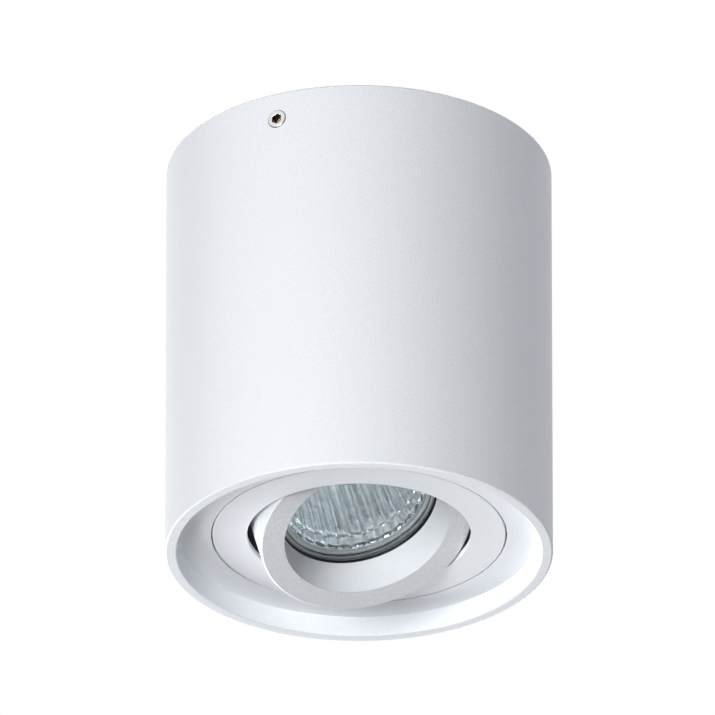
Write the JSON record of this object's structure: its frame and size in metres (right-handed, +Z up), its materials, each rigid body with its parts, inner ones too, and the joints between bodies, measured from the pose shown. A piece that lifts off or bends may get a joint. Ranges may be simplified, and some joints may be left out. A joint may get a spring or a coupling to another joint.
{
  "type": "surface mounted ceiling spotlight",
  "caption": "White cylindrical ceiling spotlight whose recessed lamp ring swivels and tilts to aim a reflector lamp.",
  "frame": {"origin": "on the ceiling plane, midway between the two ceiling screw slots, on the housing's axis", "axes": "+Z up into the ceiling; the side screws and the ceiling slots lie along Y"},
  "size_m": [0.118, 0.1186, 0.1364],
  "materials": {
    "white_coat": "white fine-texture powder coat",
    "white_coat_coarse": "white sand-texture powder coat",
    "chrome_screw": "bright plated",
    "zinc_steel": "zinc plated",
    "zinc_screw": "zinc plated",
    "brass_parts": "plain",
    "black_plastic": "matt",
    "pale_plastic": "satin",
    "black_wire": "blackened spring wire",
    "clear_glass": "clear",
    "facet_mirror": "faceted metallised glass",
    "tungsten": "drawn wire",
    "white_ceramic": "unglazed",
    "pin_metal": "nickel plated",
    "brown_lead": "glass-fibre sleeve",
    "blue_lead": "glass-fibre sleeve"
  },
  "bodies": {
    "root": {"housing": "white_coat", "side_screws": "chrome_screw", "ceiling_bracket": "zinc_steel", "cable_bushing": "black_plastic", "earth_screw": "brass_parts", "earth_washer": "zinc_screw", "terminal_block": "pale_plastic", "terminal_sleeves": "brass_parts", "terminal_screws": "zinc_screw", "block_screw": "zinc_screw", "swivel_washer": "pale_plastic", "keeper_ring": "zinc_steel", "keeper_screws": "zinc_screw", "live_lead_upper": "brown_lead", "neutral_lead_upper": "blue_lead"},
    "swivel": {"swivel_ring": "white_coat"},
    "gimbal": {"lamp_ring": "white_coat_coarse", "pivot_screws": "zinc_screw", "pivot_washers": "zinc_screw", "lamp_clip": "black_wire", "lamp_front_glass": "clear_glass", "lamp_reflector": "facet_mirror", "lamp_capsule": "clear_glass", "lamp_filament": "tungsten", "lamp_cap": "white_ceramic", "lamp_pins": "pin_metal", "lampholder_body": "white_ceramic", "lampholder_cover": "white_ceramic", "lampholder_contacts": "brass_parts", "lampholder_screws": "zinc_screw", "live_lead_lower": "brown_lead", "neutral_lead_lower": "blue_lead"}
  },
  "joints": [
    {"name": "swivel_turn", "type": "hinge", "parent": "root", "child": "swivel", "pos_m": [0, 0, -0.124], "axis": [0, 0, 1], "range_deg": [-173, 173], "deforming": ["live_lead_upper", "neutral_lead_upper"]},
    {"name": "lamp_tilt", "type": "hinge", "parent": "swivel", "child": "gimbal", "pos_m": [0, 0, -0.1142], "axis": [0.4648, 0.8854, 0], "range_deg": [-7.7, 52.3], "deforming": ["live_lead_lower", "neutral_lead_lower"]}
  ]
}
